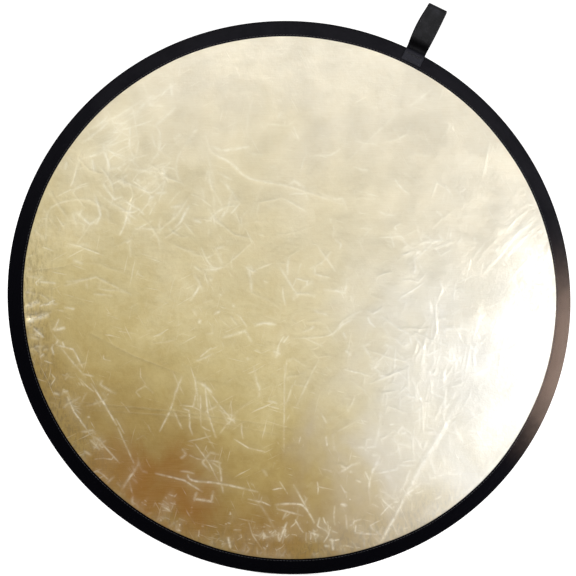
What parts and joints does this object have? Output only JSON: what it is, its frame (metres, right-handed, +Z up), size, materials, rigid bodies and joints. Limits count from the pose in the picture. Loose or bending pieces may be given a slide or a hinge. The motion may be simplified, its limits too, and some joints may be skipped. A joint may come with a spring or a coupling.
{
  "type": "collapsible reflector disc",
  "caption": "Round pop-up light reflector: a zipped gold and silver cover over a diffuser on a spring-steel hoop, with a black bound rim and a hang loop.",
  "frame": {"origin": "centre of the disc, half way through its thickness", "axes": "+Z up with the disc standing on edge, the gold front faces -Y, the silver rear faces +Y, +X to the right seen from the front"},
  "size_m": [0.5599, 0.0118, 0.5796],
  "materials": {
    "gold_foil": "metallised, finely creased, semi-gloss",
    "silver_foil": "metallised, finely creased, semi-gloss",
    "white_fabric": "plain weave, matte",
    "black_fabric": "plain weave, matte",
    "binding": "close twill tape, low sheen",
    "webbing": "ribbed webbing, low sheen",
    "thread": "twisted thread, low sheen",
    "diffuser_fabric": "fine translucent weave",
    "sleeve_fabric": "folded tape, matte",
    "coil_nylon": "drawn filament, satin",
    "zip_metal": "black enamel worn at the edges",
    "spring_steel": "blued band, oiled",
    "ferrule_steel": "zinc plated",
    "rivet_aluminium": "satin",
    "wrap_tape": "adhesive tape, matte"
  },
  "bodies": {
    "disc": {"gold_face": "gold_foil", "white_lining": "white_fabric", "silver_face": "silver_foil", "black_lining": "black_fabric", "front_band": "binding", "rear_band": "binding", "front_band_stitching": "thread", "rear_band_stitching": "thread", "closed_edge_tape": "binding", "zip_tape_front": "black_fabric", "zip_tape_rear": "black_fabric", "zip_coil_front": "coil_nylon", "zip_coil_rear": "coil_nylon", "zip_top_stops": "zip_metal", "zip_bottom_stop": "zip_metal", "diffuser_sheet": "diffuser_fabric", "hoop_sleeve": "sleeve_fabric", "sleeve_stitching": "thread", "spring_hoop": "spring_steel"},
    "far_side": {"hoop_ferrule": "ferrule_steel", "ferrule_rivets": "rivet_aluminium", "ferrule_tape": "wrap_tape", "hang_loop_ends": "webbing", "loop_tacks": "thread"},
    "hang_loop": {"hang_loop": "webbing"},
    "zip_slider": {"zip_slider": "zip_metal"},
    "zip_pull": {"zip_pull": "zip_metal"}
  },
  "joints": [
    {"name": "fold", "type": "hinge", "parent": "disc", "child": "far_side", "pos_m": [0, 0, 0], "axis": [0, 0, 1], "range_deg": [-165, 165], "stiffness_Nm_per_rad": 0.3, "deforming": ["gold_face", "white_lining", "silver_face", "black_lining", "front_band", "rear_band", "front_band_stitching", "rear_band_stitching", "closed_edge_tape", "diffuser_sheet", "hoop_sleeve", "sleeve_stitching", "spring_hoop"]},
    {"name": "loop_swing", "type": "hinge", "parent": "far_side", "child": "hang_loop", "pos_m": [0.12627, 0, 0.25327], "axis": [0.9033, 0, -0.4289], "range_deg": [-80, 80], "stiffness_Nm_per_rad": 0.02},
    {"name": "zip_travel", "type": "hinge", "parent": "disc", "child": "zip_slider", "pos_m": [0, 0, 0], "axis": [0, -1, 0], "range_deg": [0, 140.6], "deforming": ["zip_coil_front", "zip_coil_rear"]},
    {"name": "pull_swing", "type": "hinge", "parent": "zip_slider", "child": "zip_pull", "pos_m": [-0.09192, 0, 0.26247], "axis": [0, 1, 0], "range_deg": [0, 170]}
  ]
}
